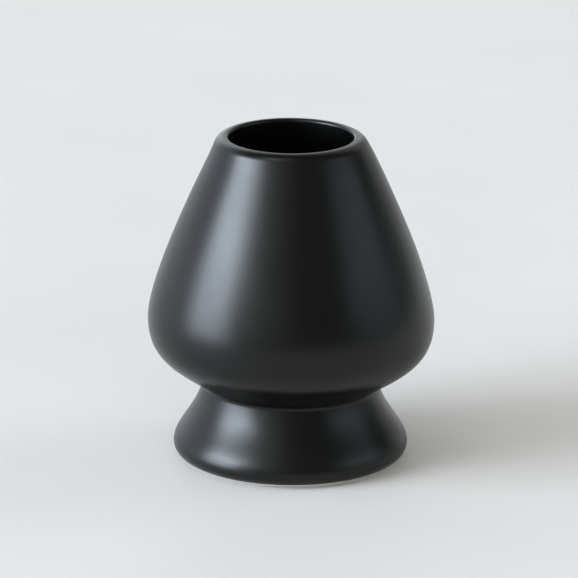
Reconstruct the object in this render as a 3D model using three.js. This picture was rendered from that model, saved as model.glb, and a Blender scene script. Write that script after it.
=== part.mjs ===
// A ceramic stand that a bamboo tea whisk is pulled over to dry and keep its shape.
// It is one hollow slip-cast shell, open at the mouth and under the foot, with a coat of dark glaze
// fused to it. The glaze stops short of the table and leaves a ring of bare clay to stand on.
// Units are millimetres, +Z is up, and the origin is the centre of the standing ring on the table.

import * as THREE from 'three';

// Finished sizes, measured over the glaze
const height = 73.8;
const mouthDiameter = 28;
const bellyDiameter = 64;
const bellyHeight = 32;
const waistDiameter = 39.7;
const waistHeight = 16.5;
const footDiameter = 52.6;

// The shell's wall, glaze on both sides included, and the glaze alone
const wall = 3.8;
const glazeThickness = 0.35;
const glazeClearance = 0.02;

// Roundings of the finished outside
const lipRadius = 0.8;
const shoulderRadius = 2.2;
const creaseRadius = 1.1;
const footEdgeRadius = 2.5;

// The bare clay ring that the stand rests on
const glazeLineHeight = 0.55;
const innerGlazeLineHeight = 2.2;
const ringWidth = 3.4;
const ringSetIn = 0.25;
const ringEdgeRadius = 0.4;

// How steeply the outline leaves the mouth, the waist crease and the foot, as shares of the slope
// of the straight line between the sizes at each end
const flankLeanShare = 1.33;
const undersideRiseShare = 0.65;
const flareLeanShare = 0.58;

// How far each curve holds its starting and its ending direction, as shares of its height
const flareHoldShares = [0.3, 0.6];
const undersideHoldShares = [0.6, 0.56];
const flankHoldShares = [0.165, 0.395];
const throatHoldShares = [0.5, 0.3];
const innerFlareHoldShares = [0.4, 0.35];

// How far up the flank the wall keeps its thickness. Above that the inside closes in to the throat.
const evenWallShare = 0.9;

// Steps round the axis, and steps along each stretch of the outline
const stepsAround = 52;
const outerSteps = { footEdge: 3, flare: 5, crease: 2, underside: 5, flank: 7, shoulder: 3, lip: 4 };
const innerSteps = { throat: 3, flank: 4, underside: 3, crease: 2, flare: 3, ringEdge: 2 };

const mouthRadius = mouthDiameter / 2;
const bellyRadius = bellyDiameter / 2;
const waistRadius = waistDiameter / 2;
const footRadius = footDiameter / 2;
const quarterTurn = Math.PI / 2;
const halfTurn = Math.PI;

// The outline is drawn in the plane of radius and height, from the foot up to the mouth.

// The rounded lower edge of the foot, from the glaze line out to the widest point.
const footEdgeCentre = new THREE.Vector2(footRadius - footEdgeRadius, glazeLineHeight + footEdgeRadius);
const footEdge = arc(footEdgeCentre, footEdgeRadius, -quarterTurn, 0);
const footWidest = footEdge.getPoint(1);

// The crease under the belly is a hollow rounding. It takes over from the foot's flare at one slope
// and hands on to the belly's underside at another, with the waist radius at its deepest point.
const flareLean = flareLeanShare * Math.atan2(footRadius - waistRadius, waistHeight - footWidest.y);
const undersideRise = undersideRiseShare * Math.atan2(bellyHeight - waistHeight, bellyRadius - waistRadius);
const creaseCentre = new THREE.Vector2(waistRadius + creaseRadius, waistHeight);
const crease = arc(creaseCentre, creaseRadius, halfTurn + flareLean, quarterTurn + undersideRise, true);

// The foot flares out from the crease to its widest point, and stands upright there.
const creaseFoot = crease.getPoint(0);
const flare = curveBetween(footWidest, quarterTurn, creaseFoot, quarterTurn + flareLean, flareHoldShares);

// The underside opens from the crease and swells up to the belly's widest point.
const bellyWidest = new THREE.Vector2(bellyRadius, bellyHeight);
const creaseTop = crease.getPoint(1);
const underside = curveBetween(creaseTop, undersideRise, bellyWidest, quarterTurn, undersideHoldShares);

// At the mouth a wide outer rounding and a small inner one meet at the crown of the lip.
const crownRadius = mouthRadius + lipRadius;
const straightLean = Math.atan2(bellyRadius - crownRadius - shoulderRadius, height - bellyHeight);
const flankLean = flankLeanShare * straightLean;
const shoulderCentre = new THREE.Vector2(crownRadius, height - shoulderRadius);
const shoulder = arc(shoulderCentre, shoulderRadius, flankLean, quarterTurn);
const lipCentre = new THREE.Vector2(crownRadius, height - lipRadius);
const lip = arc(lipCentre, lipRadius, quarterTurn, halfTurn);

// The flank draws in from the belly to the shoulder of the mouth.
const flankTop = shoulder.getPoint(0);
const flank = curveBetween(bellyWidest, quarterTurn, flankTop, quarterTurn + flankLean, flankHoldShares);

// The hole of the mouth is cut upright, so the lip drops into a short throat. It opens out below
// until the wall has its even thickness.
const evenWallTop = sampleAt(flank, evenWallShare, wall);
const evenWallDirection = flank.getTangent(evenWallShare).angle() - halfTurn;
const lipEnd = lip.getPoint(1);
const throat = curveBetween(lipEnd, -quarterTurn, evenWallTop.point, evenWallDirection, throatHoldShares);

// From there the inside follows the outside one wall deep down to the neck. Below it the inside
// opens straight to the standing ring, and the wall thickens towards the foot.
const glazeSeat = glazeThickness + glazeClearance;
const ringOuterRadius = footEdgeCentre.x - ringSetIn;
const ringInnerRadius = ringOuterRadius - ringWidth;
const neckFoot = sampleAt(crease, 0, wall).point;
const neckDirection = flareLean - quarterTurn;
const innerFlareEnd = new THREE.Vector2(ringInnerRadius - glazeSeat, innerGlazeLineHeight);
const innerFlare = curveBetween(neckFoot, neckDirection, innerFlareEnd, -quarterTurn, innerFlareHoldShares);

const finishedOutline = joinStretches([
  samplesAlong(footEdge, outerSteps.footEdge),
  samplesAlong(flare, outerSteps.flare),
  samplesAlong(crease, outerSteps.crease),
  samplesAlong(underside, outerSteps.underside),
  samplesAlong(flank, outerSteps.flank),
  samplesAlong(shoulder, outerSteps.shoulder),
  samplesAlong(lip, outerSteps.lip),
  samplesAlong(throat, innerSteps.throat),
  samplesBackInside(flank, innerSteps.flank, evenWallShare),
  samplesBackInside(underside, innerSteps.underside),
  samplesBackInside(crease, innerSteps.crease),
  samplesAlong(innerFlare, innerSteps.flare),
]);

const glazeMaterial = new THREE.MeshStandardMaterial({ color: 0x141518, roughness: 0.3, metalness: 0 });
const clayMaterial = new THREE.MeshStandardMaterial({ color: 0xe4e0d8, roughness: 0.85, metalness: 0 });

const whiskHolder = new THREE.Group();
whiskHolder.name = 'whisk_holder';
whiskHolder.add(turned('clay_body', clayOutline(), clayMaterial));
whiskHolder.add(turned('glaze_coat', glazeOutline(), glazeMaterial));

// The glaze is the skin between the finished surface and a surface one glaze thickness under it.
function glazeOutline() {
  return [...pointsUnder(finishedOutline, 0), ...pointsUnder(finishedOutline, glazeThickness).reverse()];
}

// The clay lies under all of the glaze, and its bare ring reaches down below the glaze to the table.
function clayOutline() {
  const innerEdgeCentre = new THREE.Vector2(ringInnerRadius + ringEdgeRadius, ringEdgeRadius);
  const outerEdgeCentre = new THREE.Vector2(ringOuterRadius - ringEdgeRadius, ringEdgeRadius);
  const innerEdge = arc(innerEdgeCentre, ringEdgeRadius, halfTurn, halfTurn + quarterTurn);
  const outerEdge = arc(outerEdgeCentre, ringEdgeRadius, -quarterTurn, 0);
  return [
    ...pointsUnder(finishedOutline, glazeSeat),
    ...innerEdge.getPoints(innerSteps.ringEdge),
    ...outerEdge.getPoints(innerSteps.ringEdge),
    new THREE.Vector2(ringOuterRadius, glazeLineHeight + glazeSeat),
  ];
}

// A round arc about a centre. It runs with growing angles, or the other way if clockwise.
function arc(centre, radius, startAngle, endAngle, clockwise = false) {
  return new THREE.EllipseCurve(centre.x, centre.y, radius, radius, startAngle, endAngle, clockwise);
}

// A smooth curve that leaves its start and reaches its end in the given directions. Each handle is
// a share of the height between the two points.
function curveBetween(start, startAngle, end, endAngle, holdShares) {
  const rise = Math.abs(end.y - start.y);
  const startHandle = alongAngle(startAngle).multiplyScalar(holdShares[0] * rise).add(start);
  const endHandle = alongAngle(endAngle).multiplyScalar(-holdShares[1] * rise).add(end);
  return new THREE.CubicBezierCurve(start, startHandle, endHandle, end);
}

function alongAngle(angle) {
  return new THREE.Vector2(Math.cos(angle), Math.sin(angle));
}

// The point of a curve that lies the given depth under it, and the direction out of the ceramic.
// Going along a curve, the ceramic is on the left. Seen from the inside, one wall deep, it faces
// the other way.
function sampleAt(curve, share, depth = 0) {
  const tangent = curve.getTangent(share);
  const outwards = new THREE.Vector2(tangent.y, -tangent.x);
  const point = curve.getPoint(share).addScaledVector(outwards, -depth);
  return { point, outwards: depth > 0 ? outwards.negate() : outwards };
}

function samplesAlong(curve, steps) {
  return Array.from({ length: steps + 1 }, (_, step) => sampleAt(curve, step / steps));
}

// The inside face of the wall behind an outer curve, from a share of the curve back to its start.
function samplesBackInside(curve, steps, topShare = 1) {
  return Array.from({ length: steps + 1 }, (_, step) => sampleAt(curve, topShare * (1 - step / steps), wall));
}

// Stretches share their end points, so each one but the first leaves its first point out.
function joinStretches(stretches) {
  return stretches.flatMap((samples, index) => (index === 0 ? samples : samples.slice(1)));
}

function pointsUnder(samples, depth) {
  return samples.map(({ point, outwards }) => point.clone().addScaledVector(outwards, -depth));
}

// A named mesh turned from a closed outline about the upright axis.
function turned(name, outline, material) {
  const geometry = new THREE.LatheGeometry([...outline, outline[0]], stepsAround);
  geometry.rotateX(quarterTurn);
  const mesh = new THREE.Mesh(geometry, material);
  mesh.name = name;
  return mesh;
}

export default whiskHolder;
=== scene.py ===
# %% [markdown]
# # A whisk holder in satin black glaze
#
# The real object is one hollow casting of pale clay with a coat of black glaze fused to it. A tea
# whisk is pulled over it to dry. This lesson dresses the finished solids of that holder: it turns a
# fine surface for the glaze and for the clay, gives both a procedural finish, and lights them like a
# small product on a pale tabletop.
#
# The solids are loaded first. They are the frame: every piece below has to lie inside their box.

# %% Load the solids
import math

import bmesh
import bpy
import numpy as np
from mathutils import Matrix, Vector


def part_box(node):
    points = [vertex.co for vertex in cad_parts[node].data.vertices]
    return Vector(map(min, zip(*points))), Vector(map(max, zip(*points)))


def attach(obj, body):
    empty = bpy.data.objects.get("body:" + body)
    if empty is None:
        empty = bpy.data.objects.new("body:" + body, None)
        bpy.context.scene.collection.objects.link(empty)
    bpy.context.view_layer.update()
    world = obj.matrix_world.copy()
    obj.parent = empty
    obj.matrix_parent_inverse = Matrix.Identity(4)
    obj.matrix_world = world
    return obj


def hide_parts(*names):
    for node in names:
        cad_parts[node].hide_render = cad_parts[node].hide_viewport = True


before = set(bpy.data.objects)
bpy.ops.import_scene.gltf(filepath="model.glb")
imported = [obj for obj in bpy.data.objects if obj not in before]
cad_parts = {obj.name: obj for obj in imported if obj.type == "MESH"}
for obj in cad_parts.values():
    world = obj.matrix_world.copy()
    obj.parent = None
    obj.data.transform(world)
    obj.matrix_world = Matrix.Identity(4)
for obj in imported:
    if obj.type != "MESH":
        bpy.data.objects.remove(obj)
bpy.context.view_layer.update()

MM = 0.001

# %% [markdown]
# ## The camera
#
# The photograph was taken with a long lens from a little above the table. The distance is assumed. A
# fit of the holder's outline from that distance gives the angle and the point on the axis that the
# lens looks at. The lens is set to its real angle, and the small shift moves the holder a little off
# the middle of the frame, as a crop does. Depth of field stays off.

# %% Set the camera
CAMERA_ELEVATION = math.radians(17.19)
CAMERA_DISTANCE = 900 * MM
CAMERA_ROLL = math.radians(0.38)
AIM_HEIGHT = 35.25 * MM
IMAGE_PIXELS = 578
PIXELS_PER_MM = 4.486
AIM_PIXEL = (291.25, 302.0)
SENSOR_WIDTH = 36.0
CLIP_FACTOR = 100


def place_camera():
    """A long lens in front of the holder, which looks down at a point on its axis."""
    data = bpy.data.cameras.new("camera")
    data.sensor_width = SENSOR_WIDTH
    focal_pixels = PIXELS_PER_MM * CAMERA_DISTANCE / MM
    data.lens = focal_pixels / IMAGE_PIXELS * SENSOR_WIDTH
    data.shift_x = (IMAGE_PIXELS / 2 - AIM_PIXEL[0]) / IMAGE_PIXELS
    data.shift_y = (AIM_PIXEL[1] - IMAGE_PIXELS / 2) / IMAGE_PIXELS
    data.clip_start = CAMERA_DISTANCE / CLIP_FACTOR
    data.clip_end = CAMERA_DISTANCE * CLIP_FACTOR
    camera = bpy.data.objects.new("camera", data)
    bpy.context.scene.collection.objects.link(camera)
    back = Vector((0, -math.cos(CAMERA_ELEVATION), math.sin(CAMERA_ELEVATION)))
    turn = (-back).to_track_quat("-Z", "Y").to_matrix().to_4x4()
    place = Matrix.Translation(Vector((0, 0, AIM_HEIGHT)) + back * CAMERA_DISTANCE)
    camera.matrix_world = place @ turn @ Matrix.Rotation(CAMERA_ROLL, 4, "Z")
    bpy.context.scene.camera = camera
    return camera


camera = place_camera()
print("camera lens", round(camera.data.lens, 1), "mm, at", tuple(round(c, 3) for c in camera.location))

# %% [markdown]
# ## The outline
#
# A potter would cut a template for this form: one half outline, turned about the upright axis. It is
# drawn here as the solid's is, but with many more points: round arcs for the foot's edge, the crease,
# the shoulder and the lip, and smooth curves between them that take over each arc's direction. The
# height, the belly's radius and the glaze line are read from the solids. The lip, the shoulder, the
# flare and the flank follow the real outline a little more closely than the solids do.
#
# The other sizes and shares of the outside are rounded results of the fit that the camera came from,
# a few of them changed after later comparisons. Those of the inside and of the ring are guesses.

# %% Sizes of the outline
coat_low, coat_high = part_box("glaze_coat")
HEIGHT = coat_high.z
BELLY_RADIUS = coat_high.x
BELLY_HEIGHT = 32 * MM
MOUTH_RADIUS = 13.87 * MM
WAIST_RADIUS = 19.85 * MM
WAIST_HEIGHT = 16.5 * MM
FOOT_RADIUS = 26.3 * MM
WALL = 3.8 * MM
GLAZE = 0.35 * MM
GLAZE_CLEARANCE = 0.02 * MM
LIP_RADIUS = 0.7 * MM
SHOULDER_RADIUS = 2.7 * MM
CREASE_RADIUS = 1.1 * MM
FOOT_EDGE_RADIUS = 2.5 * MM
GLAZE_LINE_HEIGHT = coat_low.z
INNER_GLAZE_LINE_HEIGHT = 2.2 * MM
RING_WIDTH = 3.4 * MM
RING_SET_IN = 0.25 * MM
RING_EDGE_RADIUS = 0.4 * MM
FLANK_LEAN_SHARE = 1.33
UNDERSIDE_RISE_SHARE = 0.65
FLARE_LEAN_SHARE = 0.65
FLARE_HOLD_SHARES = (0.25, 0.55)
UNDERSIDE_HOLD_SHARES = (0.6, 0.56)
FLANK_HOLD_SHARES = (0.18, 0.395)
THROAT_HOLD_SHARES = (0.5, 0.3)
INNER_FLARE_HOLD_SHARES = (0.4, 0.35)
EVEN_WALL_SHARE = 0.9
QUARTER = math.pi / 2

print("height", round(HEIGHT / MM, 2), "mm, belly", round(2 * BELLY_RADIUS / MM, 2), "mm across")


# %% Arcs, curves and the direction out of the ceramic
def even(steps):
    """Shares along a stretch, evenly spread."""
    return np.linspace(0, 1, steps + 1)


def arc(centre, radius, start, end, shares):
    """Points on a round arc, as rows of radius and height."""
    angles = start + (end - start) * shares
    return np.stack([centre[0] + radius * np.cos(angles), centre[1] + radius * np.sin(angles)], 1)


def curve_between(start, start_angle, end, end_angle, hold_shares, shares):
    """A smooth curve that leaves its start and reaches its end in the given directions."""
    start = np.array(start)
    end = np.array(end)
    rise = abs(end[1] - start[1])
    first = start + hold_shares[0] * rise * np.array([math.cos(start_angle), math.sin(start_angle)])
    second = end - hold_shares[1] * rise * np.array([math.cos(end_angle), math.sin(end_angle)])
    share = shares[:, None]
    near_start = (1 - share) ** 3 * start + 3 * (1 - share) ** 2 * share * first
    near_end = 3 * (1 - share) * share**2 * second + share**3 * end
    return near_start + near_end


def lengths_along(points):
    """How far along the outline each point lies."""
    return np.concatenate([[0], np.cumsum(np.linalg.norm(np.diff(points, axis=0), axis=1))])


def under(points, depth):
    """The outline moved into the ceramic, which lies on its left, by a depth."""
    along = np.gradient(points, lengths_along(points), axis=0, edge_order=2)
    along /= np.linalg.norm(along, axis=1)[:, None]
    outwards = np.stack([along[:, 1], -along[:, 0]], 1)
    return points - outwards * np.reshape(depth, (-1, 1))


def thinned(points, step):
    """Every few points of a stretch, with both of its ends."""
    return points[np.unique(np.r_[0 : len(points) : step, len(points) - 1])]


# %% Draw the foot and the underside of the belly
FOOT_EDGE_STEPS = 16
CREASE_STEPS = 12
FLARE_STEPS = 26
UNDERSIDE_STEPS = 30

foot_edge_centre = (FOOT_RADIUS - FOOT_EDGE_RADIUS, GLAZE_LINE_HEIGHT + FOOT_EDGE_RADIUS)
# squared shares put more points close to the glaze line, where the glaze rolls over
foot_edge = arc(foot_edge_centre, FOOT_EDGE_RADIUS, -QUARTER, 0, even(FOOT_EDGE_STEPS) ** 2)
straight_flare = math.atan2(FOOT_RADIUS - WAIST_RADIUS, WAIST_HEIGHT - foot_edge[-1][1])
flare_lean = FLARE_LEAN_SHARE * straight_flare
straight_rise = math.atan2(BELLY_HEIGHT - WAIST_HEIGHT, BELLY_RADIUS - WAIST_RADIUS)
underside_rise = UNDERSIDE_RISE_SHARE * straight_rise
crease_centre = (WAIST_RADIUS + CREASE_RADIUS, WAIST_HEIGHT)
crease = arc(crease_centre, CREASE_RADIUS, 2 * QUARTER + flare_lean, QUARTER + underside_rise,
             even(CREASE_STEPS))
flare = curve_between(foot_edge[-1], QUARTER, crease[0], QUARTER + flare_lean, FLARE_HOLD_SHARES,
                      even(FLARE_STEPS))
belly = (BELLY_RADIUS, BELLY_HEIGHT)
underside = curve_between(crease[-1], underside_rise, belly, QUARTER, UNDERSIDE_HOLD_SHARES,
                          even(UNDERSIDE_STEPS))
print("the flare leans", round(math.degrees(flare_lean), 1), "degrees at the crease")

# %% Draw the flank and go over the lip
FLANK_STEPS = 50
SHOULDER_STEPS = 16
LIP_STEPS = 16

crown_radius = MOUTH_RADIUS + LIP_RADIUS
straight_lean = math.atan2(BELLY_RADIUS - crown_radius - SHOULDER_RADIUS, HEIGHT - BELLY_HEIGHT)
flank_lean = FLANK_LEAN_SHARE * straight_lean
shoulder = arc((crown_radius, HEIGHT - SHOULDER_RADIUS), SHOULDER_RADIUS, flank_lean, QUARTER,
               even(SHOULDER_STEPS))
flank_end = QUARTER + flank_lean
flank = curve_between(belly, QUARTER, shoulder[0], flank_end, FLANK_HOLD_SHARES, even(FLANK_STEPS))
lip = arc((crown_radius, HEIGHT - LIP_RADIUS), LIP_RADIUS, QUARTER, 2 * QUARTER, even(LIP_STEPS))
print("the flank leans", round(math.degrees(flank_lean), 1), "degrees at the shoulder")

# %% Draw the throat, the even wall behind the belly and the inside of the foot
THROAT_STEPS = 20
INNER_FLARE_STEPS = 16
INSIDE_THINNING = 2

even_top = round(EVEN_WALL_SHARE * FLANK_STEPS)
behind_belly = under(np.concatenate([crease, underside[1:], flank[1 : even_top + 1]]), WALL)[::-1]
behind_belly = thinned(behind_belly, INSIDE_THINNING)
down_flank = flank[even_top - 1] - flank[even_top + 1]
throat_end = math.atan2(down_flank[1], down_flank[0])
throat = curve_between(lip[-1], -QUARTER, behind_belly[0], throat_end, THROAT_HOLD_SHARES,
                       even(THROAT_STEPS))
ring_outer = foot_edge_centre[0] - RING_SET_IN
ring_inner = ring_outer - RING_WIDTH
glaze_seat = GLAZE + GLAZE_CLEARANCE
inner_line = (ring_inner - glaze_seat, INNER_GLAZE_LINE_HEIGHT)
inner_flare = curve_between(behind_belly[-1], flare_lean - QUARTER, inner_line, -QUARTER,
                            INNER_FLARE_HOLD_SHARES, 1 - even(INNER_FLARE_STEPS)[::-1] ** 2)
stretches = [foot_edge, flare, crease, underside, flank, shoulder, lip]
stretches += [throat, behind_belly, inner_flare]
finished = np.concatenate([stretches[0]] + [stretch[1:] for stretch in stretches[1:]])
print("points on the outline:", len(finished))

# %% [markdown]
# ## The two closed outlines
#
# The glaze is a skin between the finished surface and a surface one glaze thickness under it. Fired
# glaze never ends in a sharp step: it draws back from the bare clay in a small round roll. So close
# to both of its ends the finished outline sinks down to the clay along a quarter of a circle.
#
# The clay fills the room under the glaze and stands on a bare ring with rounded edges.
#
# Each point also carries how far it may creep along the outline. Only the points near a glaze line
# creep, and by a different amount all round, because a line that is wiped with a sponge wavers.

# %% Close the outlines of glaze and clay
GLAZE_ROLL = 0.5 * MM
GLAZE_BACK_THINNING = 3
SEAT_THINNING = 2
RING_STEPS = 8

from_end = np.minimum(lengths_along(finished), lengths_along(finished)[-1] - lengths_along(finished))
roll_share = np.clip(1 - from_end / GLAZE_ROLL, 0, 1)
glaze_skin = under(finished, GLAZE * (1 - np.sqrt(1 - roll_share**2)))
glaze_back = thinned(under(finished, GLAZE)[::-1], GLAZE_BACK_THINNING)[1:-1]
glaze_outline = np.concatenate([glaze_skin, glaze_back])

seat = thinned(under(finished, glaze_seat), SEAT_THINNING)
ring_low_inner = (ring_inner + RING_EDGE_RADIUS, RING_EDGE_RADIUS)
ring_low_outer = (ring_outer - RING_EDGE_RADIUS, RING_EDGE_RADIUS)
inner_edge = arc(ring_low_inner, RING_EDGE_RADIUS, 2 * QUARTER, 3 * QUARTER, even(RING_STEPS))
outer_edge = arc(ring_low_outer, RING_EDGE_RADIUS, -QUARTER, 0, even(RING_STEPS))
ring_face = inner_edge[-1] + even(RING_STEPS)[1:-1, None] * (outer_edge[0] - inner_edge[-1])
ring_top = np.array([(ring_outer, GLAZE_LINE_HEIGHT + glaze_seat)])
clay_outline = np.concatenate([seat, inner_edge, ring_face, outer_edge, ring_top])
print("points round the glaze:", len(glaze_outline), "and round the clay:", len(clay_outline))

# %% Let the glaze lines creep
CREEP_REACH = 1.6 * MM


def creep_of(outline, lines):
    """The direction in which each point may creep away from the nearest glaze line."""
    creep = np.zeros((len(outline), 3))
    for line, direction in lines:
        share = np.clip(1 - np.linalg.norm(outline - np.array(line), axis=1) / CREEP_REACH, 0, 1)
        creep += share[:, None] * np.array([direction[0], 0, direction[1]])
    return creep


glaze_creep = creep_of(glaze_outline, [(finished[0], (1, 0)), (finished[-1], (0, 1))])
clay_creep = creep_of(clay_outline, [])
print("points of the glaze that may creep:", np.count_nonzero(glaze_creep.any(axis=1)))

# %% [markdown]
# ## Turning on the wheel
#
# A body of revolution follows one rule, so Geometry Nodes make it: the closed outline is swept along
# a circle, the wheel. The result is closed where the sweep meets itself, and the steps round the
# axis stay a named input. The same tree turns the glaze and the clay.
#
# No cast piece is perfectly round. A slow noise, the same for both pieces because it has the same
# seed, pulls the wall in by up to the wave height, so the reflections waver a little as they do on
# the real thing. It reads only the angle and the height, so both sides of the wall move together. A
# finer noise moves the points that may creep along the outline.
#
# The soft casting has also sagged while it dried: belly and crease dip a little to the right, the
# mouth nods a little towards the front and sits a little to the left, and only the foot stayed level.


# %% Helpers that wire nodes
def feed(tree, socket, value):
    """Links a socket to a node's input, or sets a number or a colour on it."""
    if isinstance(value, bpy.types.NodeSocket):
        tree.links.new(value, socket)
    else:
        socket.default_value = value


def node(tree, kind, inputs=(), **settings):
    """Adds a node, sets its properties, and feeds its inputs by name or by place."""
    made = tree.nodes.new(kind)
    for name, value in settings.items():
        setattr(made, name, value)
    for name, value in dict(inputs).items():
        feed(tree, made.inputs[name], value)
    return made


def number(tree, operation, *values):
    """A number that a Math node works out from one, two or three others."""
    return node(tree, "ShaderNodeMath", dict(enumerate(values)), operation=operation).outputs[0]


def vector(tree, operation, *values):
    """A vector that a Vector Math node works out from one or two others."""
    return node(tree, "ShaderNodeVectorMath", dict(enumerate(values)), operation=operation).outputs[0]


def scaled(tree, value, factor):
    """A vector made longer or shorter by a factor."""
    return node(tree, "ShaderNodeVectorMath", {0: value, "Scale": factor}, operation="SCALE").outputs[0]


def open_group(name, kind, inputs, outputs):
    """A node group with named sockets, and its input and output nodes."""
    tree = bpy.data.node_groups.new(name, kind)
    for in_out, sockets in (("INPUT", inputs), ("OUTPUT", outputs)):
        for socket_name, socket_kind in sockets.items():
            socket_type = "NodeSocket" + socket_kind
            tree.interface.new_socket(socket_name, in_out=in_out, socket_type=socket_type)
    return tree, tree.nodes.new("NodeGroupInput").outputs, tree.nodes.new("NodeGroupOutput").inputs


# %% The sag of belly and crease
SAG_START = 6 * MM
SAG_END = 52 * MM
LEAN = 0.0102
SINK = 0.17 * MM


def rising(tree, value, start, end):
    """0 up to a start and 1 from an end on, with a soft step between."""
    return node(tree, "ShaderNodeMapRange", {"Value": value, "From Min": start, "From Max": end},
                interpolation_type="SMOOTHSTEP").outputs[0]


def sagging(tree, place, lean, sink):
    """How far each point has dropped: most at the crease and the belly, and more on the right."""
    across, _, height = node(tree, "ShaderNodeSeparateXYZ", {0: place}).outputs
    over_foot = rising(tree, height, SAG_START, WAIST_HEIGHT)
    under_mouth = rising(tree, height, SAG_END, BELLY_HEIGHT)
    share = number(tree, "MULTIPLY", over_foot, under_mouth)
    tilted = number(tree, "MULTIPLY_ADD", across, lean, sink)
    drop = number(tree, "MULTIPLY", tilted, share)
    fallen = number(tree, "MULTIPLY", drop, -1.0)
    return node(tree, "ShaderNodeCombineXYZ", {2: fallen}).outputs[0]


print("the belly's right side drops by", round((SINK + LEAN * BELLY_RADIUS) / MM, 2), "mm")

# %% The lean of the mouth
NOD_START = 46 * MM
NOD = 0.0129
SHIFT_START = 69 * MM
SHIFT = -0.29 * MM


def nodding(tree, place, nod, shift):
    """How far each point of the upper part has moved: down at the front, and the lip to the left."""
    _, depth, height = node(tree, "ShaderNodeSeparateXYZ", {0: place}).outputs
    share = rising(tree, height, NOD_START, HEIGHT)
    in_front = number(tree, "SUBTRACT", depth, crown_radius)
    drop = number(tree, "MULTIPLY", in_front, nod)
    lowered = number(tree, "MULTIPLY", drop, share)
    lip_share = rising(tree, height, SHIFT_START, HEIGHT)
    aside = number(tree, "MULTIPLY", lip_share, shift)
    return node(tree, "ShaderNodeCombineXYZ", {0: aside, 2: lowered}).outputs[0]


print("the front of the lip drops by", round(2 * crown_radius * NOD / MM, 2), "mm")

# %% The wavering of a cast wall
WAVE_HEIGHT = 0.06 * MM
WAVE_SIZE = 30 * MM
WAVE_DETAIL = 1.0
CREEP_HEIGHT = 0.3 * MM
RAGGED_SCALE = 9.0
RAGGED_DETAIL = 4.0


def wavering(tree, place, wave_height, wave_size, creep_height, seed):
    """How far each point moves: in towards the axis, a little down, and along the outline."""
    flat = vector(tree, "MULTIPLY", place, (1, 1, 0))
    radial = vector(tree, "NORMALIZE", flat)
    height = node(tree, "ShaderNodeSeparateXYZ", {0: place}).outputs[2]
    rise = number(tree, "DIVIDE", height, HEIGHT)
    upward = node(tree, "ShaderNodeCombineXYZ", {2: rise}).outputs[0]
    where = vector(tree, "ADD", radial, upward)
    detail = number(tree, "DIVIDE", BELLY_RADIUS, wave_size)
    slow = node(tree, "ShaderNodeTexNoise",
                {"Vector": where, "W": seed, "Scale": detail, "Detail": WAVE_DETAIL},
                noise_dimensions="4D").outputs[0]
    depth = number(tree, "MULTIPLY", slow, wave_height)
    inwards = number(tree, "MULTIPLY", depth, -1.0)
    pulled = scaled(tree, where, inwards)
    ragged = node(tree, "ShaderNodeTexNoise",
                  {"Vector": radial, "W": seed, "Scale": RAGGED_SCALE, "Detail": RAGGED_DETAIL},
                  noise_dimensions="4D").outputs[0]
    crept = number(tree, "MULTIPLY", ragged, creep_height)
    creep = node(tree, "GeometryNodeInputNamedAttribute", {"Name": "creep"},
                 data_type="FLOAT_VECTOR").outputs[0]
    creep_out, _, creep_up = node(tree, "ShaderNodeSeparateXYZ", {0: creep}).outputs
    out = scaled(tree, radial, creep_out)
    up = node(tree, "ShaderNodeCombineXYZ", {2: creep_up}).outputs[0]
    along = vector(tree, "ADD", out, up)
    retreat = scaled(tree, along, crept)
    return vector(tree, "ADD", pulled, retreat)


# %% The tree that turns an outline
def build_wheel():
    """An outline of edges goes in, and the turned body comes out with its material."""
    tree, given, result = open_group("turn_on_the_wheel", "GeometryNodeTree", {
        "Geometry": "Geometry", "Steps Around": "Int", "Wheel Radius": "Float", "Wave Height": "Float",
        "Wave Size": "Float", "Creep Height": "Float", "Lean": "Float", "Sink": "Float", "Nod": "Float",
        "Shift": "Float", "Seed": "Float", "Material": "Material",
    }, {"Geometry": "Geometry"})
    outline = node(tree, "GeometryNodeMeshToCurve", {"Mesh": given["Geometry"]}).outputs[0]
    wheel = node(tree, "GeometryNodeCurvePrimitiveCircle",
                 {"Resolution": given["Steps Around"], "Radius": given["Wheel Radius"]}).outputs[0]
    swept = node(tree, "GeometryNodeCurveToMesh", {"Curve": wheel, "Profile Curve": outline}).outputs[0]
    turned = node(tree, "GeometryNodeFlipFaces", {"Mesh": swept}).outputs[0]
    place = node(tree, "GeometryNodeInputPosition").outputs[0]
    waved = wavering(tree, place, given["Wave Height"], given["Wave Size"], given["Creep Height"],
                     given["Seed"])
    sagged = sagging(tree, place, given["Lean"], given["Sink"])
    nodded = nodding(tree, place, given["Nod"], given["Shift"])
    fallen = vector(tree, "ADD", sagged, nodded)
    offset = vector(tree, "ADD", waved, fallen)
    moved = node(tree, "GeometryNodeSetPosition", {"Geometry": turned, "Offset": offset}).outputs[0]
    smooth = node(tree, "GeometryNodeSetShadeSmooth", {"Geometry": moved}).outputs[0]
    solid = node(tree, "GeometryNodeRealizeInstances", {"Geometry": smooth}).outputs[0]
    dressed = node(tree, "GeometryNodeSetMaterial",
                   {"Geometry": solid, "Material": given["Material"]}).outputs[0]
    tree.links.new(dressed, result["Geometry"])
    return tree


wheel_tree = build_wheel()
wheel_inputs = [item for item in wheel_tree.interface.items_tree if item.in_out == "INPUT"]
print("wheel inputs:", [item.name for item in wheel_inputs])

# %% Turn an outline into a finished mesh
WHEEL_RADIUS = 10 * MM
WHEEL_SEED = 4.0


def outline_mesh(name, outline):
    """The closed outline as loose edges. In the wheel's profile plane the second axis points down."""
    flat = [(radius - WHEEL_RADIUS, -height, 0) for radius, height in outline]
    mesh = bpy.data.meshes.new(name)
    mesh.from_pydata(flat, [(i, (i + 1) % len(flat)) for i in range(len(flat))], [])
    return mesh


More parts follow.
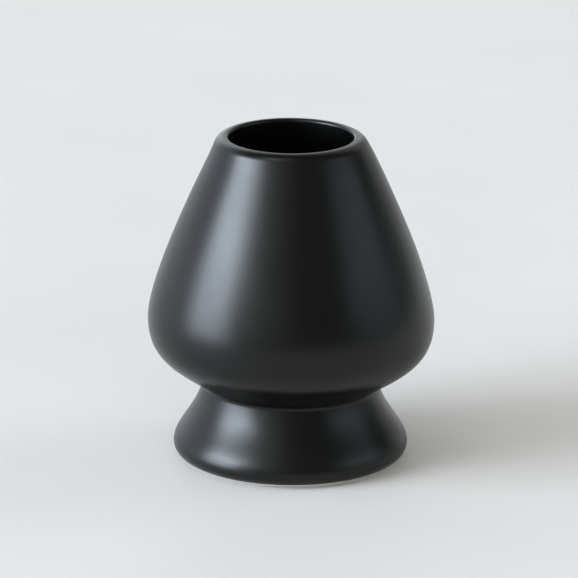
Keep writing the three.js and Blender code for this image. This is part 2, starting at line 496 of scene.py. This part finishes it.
def turn_piece(name, outline, creep, steps_around, material):
    """Turns an outline on the wheel and keeps the result as a plain mesh."""
    mesh = outline_mesh(name + "_outline", outline)
    mesh.attributes.new("creep", "FLOAT_VECTOR", "POINT").data.foreach_set("vector", creep.ravel())
    piece = bpy.data.objects.new(name, mesh)
    bpy.context.scene.collection.objects.link(piece)
    modifier = piece.modifiers.new("wheel", "NODES")
    modifier.node_group = wheel_tree
    settings = {"Steps Around": steps_around, "Wheel Radius": WHEEL_RADIUS, "Wave Height": WAVE_HEIGHT,
                "Wave Size": WAVE_SIZE, "Creep Height": CREEP_HEIGHT, "Lean": LEAN, "Sink": SINK,
                "Nod": NOD, "Shift": SHIFT, "Seed": WHEEL_SEED, "Material": material}
    for item in wheel_inputs:
        if item.name in settings:
            modifier[item.identifier] = settings[item.name]
    evaluated = piece.evaluated_get(bpy.context.evaluated_depsgraph_get())
    turned = bpy.data.meshes.new_from_object(evaluated)
    piece.modifiers.remove(modifier)
    piece.data = turned
    bpy.data.meshes.remove(mesh)
    turned.name = name
    return piece


def report_piece(piece):
    """Prints a piece's triangles and its volume, which is positive when the faces point outwards."""
    shape = bmesh.new()
    shape.from_mesh(piece.data)
    volume = shape.calc_volume(signed=True) / MM**3
    open_edges = sum(not edge.is_manifold for edge in shape.edges)
    triangles = sum(len(face.verts) - 2 for face in shape.faces)
    shape.free()
    print(piece.name, triangles, "triangles, volume", round(volume), "mm3, open edges", open_edges)


# %% [markdown]
# ## Shared surface effects
#
# Two effects serve more than one finish, so each is a node group that is built once. Uneven patches
# give a slowly changing value between a low and a high one. Fine pits give a mask of small scattered
# dots and their height, which are pinholes in the glaze and pores in the clay.

# %% Node group: uneven patches
# a noise keeps mostly between these two values
NOISE_LOW = 0.3
NOISE_HIGH = 0.7


def build_patches():
    """A value that drifts between a low and a high one over patches of a given size."""
    tree, given, result = open_group("uneven_patches", "ShaderNodeTree", {
        "Patch Size": "Float", "Detail": "Float", "Low": "Float", "High": "Float",
    }, {"Value": "Float"})
    place = node(tree, "ShaderNodeTexCoord").outputs["Object"]
    scale = number(tree, "DIVIDE", 1.0, given["Patch Size"])
    noise = node(tree, "ShaderNodeTexNoise",
                 {"Vector": place, "Scale": scale, "Detail": given["Detail"]}).outputs[0]
    spread = node(tree, "ShaderNodeMapRange", {
        "Value": noise, "From Min": NOISE_LOW, "From Max": NOISE_HIGH,
        "To Min": given["Low"], "To Max": given["High"],
    })
    tree.links.new(spread.outputs[0], result["Value"])
    return tree


patches_group = build_patches()
print("shared effect:", patches_group.name)


# %% Node group: fine pits
def build_pits():
    """A mask of scattered dots and their height. Only a share of the cells has a dot in it."""
    tree, given, result = open_group("fine_pits", "ShaderNodeTree", {
        "Spacing": "Float", "Pit Size": "Float", "Share": "Float",
    }, {"Mask": "Float", "Height": "Float"})
    place = node(tree, "ShaderNodeTexCoord").outputs["Object"]
    scale = number(tree, "DIVIDE", 1.0, given["Spacing"])
    cells = node(tree, "ShaderNodeTexVoronoi", {"Vector": place, "Scale": scale})
    pick = node(tree, "ShaderNodeSeparateColor", {0: cells.outputs["Color"]}).outputs
    chosen = number(tree, "LESS_THAN", pick[0], given["Share"])
    reach = number(tree, "MULTIPLY", given["Pit Size"], scale)
    sized = number(tree, "MULTIPLY", reach, pick[1])
    bowl = node(tree, "ShaderNodeMapRange", {
        "Value": cells.outputs["Distance"], "From Min": sized, "From Max": 0.0,
    }, interpolation_type="SMOOTHSTEP").outputs[0]
    mask = number(tree, "MULTIPLY", bowl, chosen)
    height = number(tree, "SUBTRACT", 1.0, mask)
    tree.links.new(mask, result["Mask"])
    tree.links.new(height, result["Height"])
    return tree


pits_group = build_pits()
print("shared effect:", pits_group.name)


# %% Helpers for the materials
def effect(tree, group, inputs):
    """One use of a node group in a material, with its own values."""
    placed = tree.nodes.new("ShaderNodeGroup")
    placed.node_tree = group
    for name, value in inputs.items():
        feed(tree, placed.inputs[name], value)
    return placed.outputs


def patches(tree, size, detail, low=0.0, high=1.0):
    """A value that drifts over patches of a size, with finer patches in them by the detail."""
    values = {"Patch Size": size, "Detail": detail, "Low": low, "High": high}
    return effect(tree, patches_group, values)["Value"]


def pits(tree, spacing, size, share):
    """The mask and the height of scattered dots, in a share of the cells of a spacing."""
    return effect(tree, pits_group, {"Spacing": spacing, "Pit Size": size, "Share": share})


def new_material(name):
    """An empty material with its Principled shader, ready to be wired."""
    material = bpy.data.materials.new(name)
    material.use_nodes = True
    tree = material.node_tree
    tree.nodes.clear()
    shader = tree.nodes.new("ShaderNodeBsdfPrincipled")
    output = tree.nodes.new("ShaderNodeOutputMaterial")
    tree.links.new(shader.outputs[0], output.inputs["Surface"])
    return material, tree, shader


# %% [markdown]
# ## Satin black glaze
#
# The glaze is nearly black all through, so almost all that the eye sees is its soft reflection. A
# satin glaze gets that softness from tiny crystals on its surface, which the roughness stands for.
# The roughness changes slowly over the piece, the surface swells and dips a little like fine orange
# peel, and a few pinholes show close up.

# %% Build the glaze
GLAZE_COLOURS = ((0.0008, 0.0008, 0.0008, 1), (0.0014, 0.0014, 0.0014, 1))
GLAZE_TONE_SIZE = 14 * MM
GLAZE_TONE_DETAIL = 3.0
GLAZE_ROUGHNESS = (0.28, 0.32)
GLAZE_GLOSS_SIZE = 9 * MM
GLAZE_GLOSS_DETAIL = 4.0
GLAZE_IOR = 1.4
PEEL_SIZE = 1.3 * MM
PEEL_DETAIL = 2.0
PEEL_HEIGHT = 0.004 * MM
PINHOLE_SPACING = 4 * MM
PINHOLE_SIZE = 0.12 * MM
PINHOLE_SHARE = 0.3
PINHOLE_DEPTH = 0.05 * MM


# a Mix node keeps its sockets for colours behind those for numbers and vectors
MIX_COLOURS_IN = (6, 7)
MIX_COLOUR_OUT = 2


def blend(tree, share, colours):
    """A colour between two others, by a share."""
    mixed = node(tree, "ShaderNodeMix", {0: share}, data_type="RGBA")
    for place, colour in zip(MIX_COLOURS_IN, colours):
        feed(tree, mixed.inputs[place], colour)
    return mixed.outputs[MIX_COLOUR_OUT]


def bump(tree, height, distance, under_it=None):
    """A normal that is tilted by a height, on top of an earlier normal if there is one."""
    inputs = {"Height": height, "Distance": distance}
    if under_it is not None:
        inputs["Normal"] = under_it
    return node(tree, "ShaderNodeBump", inputs).outputs[0]


def make_glaze():
    """A nearly black base, an uneven satin gloss, orange peel and a few pinholes."""
    material, tree, shader = new_material("satin_black_glaze")
    tone = patches(tree, GLAZE_TONE_SIZE, GLAZE_TONE_DETAIL)
    feed(tree, shader.inputs["Base Color"], blend(tree, tone, GLAZE_COLOURS))
    gloss = patches(tree, GLAZE_GLOSS_SIZE, GLAZE_GLOSS_DETAIL, *GLAZE_ROUGHNESS)
    feed(tree, shader.inputs["Roughness"], gloss)
    shader.inputs["IOR"].default_value = GLAZE_IOR
    swell = bump(tree, patches(tree, PEEL_SIZE, PEEL_DETAIL), PEEL_HEIGHT)
    _, pinholes = pits(tree, PINHOLE_SPACING, PINHOLE_SIZE, PINHOLE_SHARE)
    feed(tree, shader.inputs["Normal"], bump(tree, pinholes, PINHOLE_DEPTH, swell))
    return material


glaze_material = make_glaze()
print("made", glaze_material.name)

# %% [markdown]
# ## Bare clay
#
# The ring that the holder stands on is wiped free of glaze, so pale, dry clay shows there. Fired
# casting clay is off-white and matt, with a fine grain, small pores and a few darker specks, and the
# sponge leaves faint lines that run round the ring.

# %% Build the clay
CLAY_COLOURS = ((0.86, 0.84, 0.81, 1), (0.93, 0.91, 0.89, 1))
CLAY_TONE_SIZE = 2.5 * MM
CLAY_TONE_DETAIL = 5.0
SPECK_COLOUR = (0.42, 0.36, 0.29, 1)
SPECK_SPACING = 0.9 * MM
SPECK_SIZE = 0.16 * MM
SPECK_SHARE = 0.22
CLAY_ROUGHNESS = 0.9
CLAY_IOR = 1.45
WIPE_SPACING = 0.25 * MM
WIPE_DETAIL = 2.0
WIPE_DEPTH = 0.02 * MM
GRAIN_SIZE = 0.12 * MM
GRAIN_DETAIL = 2.0
GRAIN_HEIGHT = 0.01 * MM
PORE_SPACING = 0.35 * MM
PORE_SIZE = 0.09 * MM
PORE_SHARE = 0.4
PORE_DEPTH = 0.03 * MM


def wiped_lines(tree):
    """A height that changes only with the distance from the axis, as wiping on a wheel leaves it."""
    place = node(tree, "ShaderNodeTexCoord").outputs["Object"]
    flat = vector(tree, "MULTIPLY", place, (1, 1, 0))
    radius = node(tree, "ShaderNodeVectorMath", {0: flat}, operation="LENGTH").outputs["Value"]
    return node(tree, "ShaderNodeTexNoise",
                {"W": radius, "Scale": 1 / WIPE_SPACING, "Detail": WIPE_DETAIL},
                noise_dimensions="1D").outputs[0]


def make_clay():
    """Off-white clay with darker specks, and wiped lines, grain and pores in its surface."""
    material, tree, shader = new_material("bare_clay")
    plain = blend(tree, patches(tree, CLAY_TONE_SIZE, CLAY_TONE_DETAIL), CLAY_COLOURS)
    specks, _ = pits(tree, SPECK_SPACING, SPECK_SIZE, SPECK_SHARE)
    feed(tree, shader.inputs["Base Color"], blend(tree, specks, (plain, SPECK_COLOUR)))
    shader.inputs["Roughness"].default_value = CLAY_ROUGHNESS
    shader.inputs["IOR"].default_value = CLAY_IOR
    lines = bump(tree, wiped_lines(tree), WIPE_DEPTH)
    grained = bump(tree, patches(tree, GRAIN_SIZE, GRAIN_DETAIL), GRAIN_HEIGHT, lines)
    _, pores = pits(tree, PORE_SPACING, PORE_SIZE, PORE_SHARE)
    feed(tree, shader.inputs["Normal"], bump(tree, pores, PORE_DEPTH, grained))
    return material


clay_material = make_clay()
print("made", clay_material.name)

# %% [markdown]
# ## The two pieces
#
# Both outlines now go on the wheel. Each piece replaces its plain solid and rides on the holder's one
# body.

# %% Turn the glaze and the clay
STEPS_AROUND_GLAZE = 240
STEPS_AROUND_CLAY = 192

glaze = turn_piece("glaze", glaze_outline, glaze_creep, STEPS_AROUND_GLAZE, glaze_material)
clay = turn_piece("clay", clay_outline, clay_creep, STEPS_AROUND_CLAY, clay_material)
dressings = ((glaze, "glaze_coat", "satin_black_glaze"), (clay, "clay_body", "bare_clay"))
for piece, replaced, slot in dressings:
    report_piece(piece)
    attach(piece, "root")
    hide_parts(replaced)

# %% [markdown]
# ## Tabletop
#
# The table is a large matt sheet with a faint sheen. Far from the holder it fades into the backdrop,
# so no edge or horizon shows from any side, and from below it can be looked through.

# %% Build the tabletop
FLOOR_SIZE = 8.0
FLOOR_COLOURS = ((0.56, 0.53, 0.525, 1), (0.58, 0.55, 0.54, 1))
FLOOR_TONE_SIZE = 60 * MM
FLOOR_TONE_DETAIL = 3.0
FLOOR_ROUGHNESS = 0.6
FLOOR_SHINE = 0.2
FADE_START = 0.25
FADE_END = 0.9


def see_through(tree, shader):
    """The shader, but clear to the camera from below and far from the holder."""
    place = node(tree, "ShaderNodeTexCoord").outputs["Object"]
    reach = node(tree, "ShaderNodeVectorMath", {0: place}, operation="LENGTH").outputs["Value"]
    far = rising(tree, reach, FADE_START, FADE_END)
    below = node(tree, "ShaderNodeNewGeometry").outputs["Backfacing"]
    unseen = number(tree, "MAXIMUM", far, below)
    seen = node(tree, "ShaderNodeLightPath").outputs["Is Camera Ray"]
    gone = number(tree, "MULTIPLY", unseen, seen)
    clear = node(tree, "ShaderNodeBsdfTransparent").outputs[0]
    return node(tree, "ShaderNodeMixShader", {0: gone, 1: shader.outputs[0], 2: clear}).outputs[0]


def make_floor():
    """Pale, matt and very slightly uneven."""
    material, tree, shader = new_material("matt_table")
    tone = patches(tree, FLOOR_TONE_SIZE, FLOOR_TONE_DETAIL)
    feed(tree, shader.inputs["Base Color"], blend(tree, tone, FLOOR_COLOURS))
    shader.inputs["Roughness"].default_value = FLOOR_ROUGHNESS
    shader.inputs["Specular IOR Level"].default_value = FLOOR_SHINE
    output = next(n for n in tree.nodes if n.type == "OUTPUT_MATERIAL")
    tree.links.new(see_through(tree, shader), output.inputs["Surface"])
    return material


def lay_floor():
    """One square, which is a stage and no piece of the holder."""
    half = FLOOR_SIZE / 2
    corners = [(-half, -half, 0), (half, -half, 0), (half, half, 0), (-half, half, 0)]
    mesh = bpy.data.meshes.new("tabletop")
    mesh.from_pydata(corners, [], [(0, 1, 2, 3)])
    floor = bpy.data.objects.new("tabletop", mesh)
    floor.data.materials.append(make_floor())
    bpy.context.scene.collection.objects.link(floor)
    return floor


floor = lay_floor()
print("tabletop", FLOOR_SIZE, "m wide")

# %% [markdown]
# ## Soft light all round
#
# A window on the left is the main light: a bright strip, dimmer above and below it, with a wide soft
# glow round it. The other walls of the room are pale and dim, and the side behind the camera is dark,
# which leaves the dark band down the middle of the holder. Lamps could stand for all of this, but a
# satin black piece shows where each lamp ends. So the world shader paints the room by direction, with
# soft edges. Each patch of light lies between two sides and between two heights, and has the tint of
# daylight or of a pale wall. The camera itself sees only the plain backdrop.
#
# The angles and brightnesses in this table began as results of a program that fitted them to the
# tones of the photograph. The rows window_glow, left_wall, right_wall and right_low are its results,
# rounded. In the other rows some values were then changed. Together they give back the tones of the
# photograph, and they say little about the real room.

# %% The patches of light
DEGREE = math.radians(1)
BACKDROP = (0.80, 0.80, 0.805, 1)
DAYLIGHT = (0.89, 1.0, 1.12)
PALE_WALL = (0.96, 1.0, 0.95)
ROOM_BRIGHTNESS = 0.115
# name, then the sides in degrees left of the camera with their softness, the heights in degrees above
# the table with theirs, the brightness and the tint
LIGHT_PATCHES = (
    ("window", (55, 90), 12, (15, 30), 12, 15.0, DAYLIGHT),
    ("window_top", (45, 85), 14, (22, 40), 8, 7.0, DAYLIGHT),
    ("window_low", (55, 88), 20, (0, 14), 8, 9.5, DAYLIGHT),
    ("window_glow", (20, 60), 60, (5, 90), 12, 1.1, PALE_WALL),
    ("high_left", (25, 75), 35, (60, 72), 14, 2.6, PALE_WALL),
    ("left_wall", (80, 175), 6, (-10, 45), 8, 1.0, DAYLIGHT),
    ("back_wall", (150, 195), 8, (0, 40), 26, 0.75, PALE_WALL),
    ("back_right", (-180, -128), 6, (-3, 53), 14, 0.45, PALE_WALL),
    ("right_wall", (-98, -52), 16, (15, 27), 36, 1.7, DAYLIGHT),
    ("right_low", (-130, -68), 6, (5, 11), 6, 0.35, DAYLIGHT),
    ("front", (-95, 60), 36, (10, 90), 12, 0.085, PALE_WALL),
)
print("light patches:", [patch[0] for patch in LIGHT_PATCHES])


# %% Paint the room
def between(tree, value, edges, softness):
    """1 between two angles and 0 outside of them, with soft edges."""
    middle = (edges[0] + edges[1]) / 2 * DEGREE
    half = (edges[1] - edges[0]) / 2
    apart = number(tree, "SUBTRACT", value, middle)
    # wrapped to a half turn each way, so a patch may reach past the point straight behind
    turned = number(tree, "WRAP", apart, math.pi, -math.pi)
    away = number(tree, "ABSOLUTE", turned)
    return rising(tree, away, (half + softness / 2) * DEGREE, (half - softness / 2) * DEGREE)


def tinted(brightness, tint):
    """The light of a brightness and a tint, as red, green and blue."""
    return tuple(brightness * share for share in tint)


def light_room():
    """The world: painted by direction for the pieces, and plain for the camera."""
    world = bpy.data.worlds.new("room")
    world.use_nodes = True
    tree = world.node_tree
    tree.nodes.clear()
    direction = node(tree, "ShaderNodeTexCoord").outputs["Generated"]
    right, back, up = node(tree, "ShaderNodeSeparateXYZ", {0: direction}).outputs
    left = number(tree, "MULTIPLY", right, -1.0)
    front = number(tree, "MULTIPLY", back, -1.0)
    side = number(tree, "ARCTAN2", left, front)
    height = number(tree, "ARCSINE", up)
    room_light = dict(enumerate(tinted(ROOM_BRIGHTNESS, PALE_WALL)))
    light = node(tree, "ShaderNodeCombineXYZ", room_light).outputs[0]
    for _, sides, side_softness, heights, height_softness, brightness, tint in LIGHT_PATCHES:
        across = between(tree, side, sides, side_softness)
        upward = between(tree, height, heights, height_softness)
        mask = number(tree, "MULTIPLY", across, upward)
        patch = scaled(tree, tinted(brightness, tint), mask)
        light = vector(tree, "ADD", light, patch)
    seen = node(tree, "ShaderNodeLightPath").outputs["Is Camera Ray"]
    room = node(tree, "ShaderNodeBackground", {"Color": light}).outputs[0]
    backdrop = node(tree, "ShaderNodeBackground", {"Color": BACKDROP}).outputs[0]
    mixed = node(tree, "ShaderNodeMixShader", {0: seen, 1: room, 2: backdrop}).outputs[0]
    node(tree, "ShaderNodeOutputWorld", {"Surface": mixed})
    bpy.context.scene.world = world
    return world


world = light_room()
print("the room is painted in", len(world.node_tree.nodes), "nodes")

# %% [markdown]
# ## Fill lamps for the table
#
# The table and the bare clay need more light than the painted room gives, but the glaze would mirror
# any lamp that is added. Large disks do it here, with their reflection switched off: they brighten
# what is matt, soften the shadow, and leave the black glaze as it is. Most of their powers began as
# results of the same fit as the patches, and were then changed.

# %% Hang the fill lamps
# name, then the place in metres and the power in watts
FILL_LAMPS = (
    ("left_fill", (-1.5, 0, 0.4), 2.5),
    ("left_front_fill", (-1.3, -0.75, 0.4), 2.5),
    ("front_fill", (0, -1.5, 0.4), 9.0),
    ("back_left_fill", (-1.3, 0.75, 0.4), 5.3),
    ("right_front_fill", (0.75, -1.3, 0.4), 5.5),
    ("right_fill", (1.3, 0.4, 0.8), 6.5),
)
FILL_LAMP_SIZE = 0.9


def hang_fill_lamps():
    """Large soft disks that shine towards the holder and leave no reflection in the glaze."""
    for name, place, power in FILL_LAMPS:
        data = bpy.data.lights.new(name, "AREA")
        data.shape = "DISK"
        data.size = FILL_LAMP_SIZE
        data.energy = power
        data.color = PALE_WALL
        lamp = bpy.data.objects.new(name, data)
        lamp.location = place
        # a lamp shines down its own Z axis, so that axis points away from the holder
        lamp.rotation_euler = Vector(place).to_track_quat("Z", "Y").to_euler()
        lamp.visible_glossy = False
        lamp.visible_camera = False
        bpy.context.scene.collection.objects.link(lamp)


hang_fill_lamps()
bpy.context.scene.view_settings.view_transform = "Standard"
all_power = sum(power for _, _, power in FILL_LAMPS)
print("fill lamps:", len(FILL_LAMPS), "with", round(all_power, 1), "watts in all")
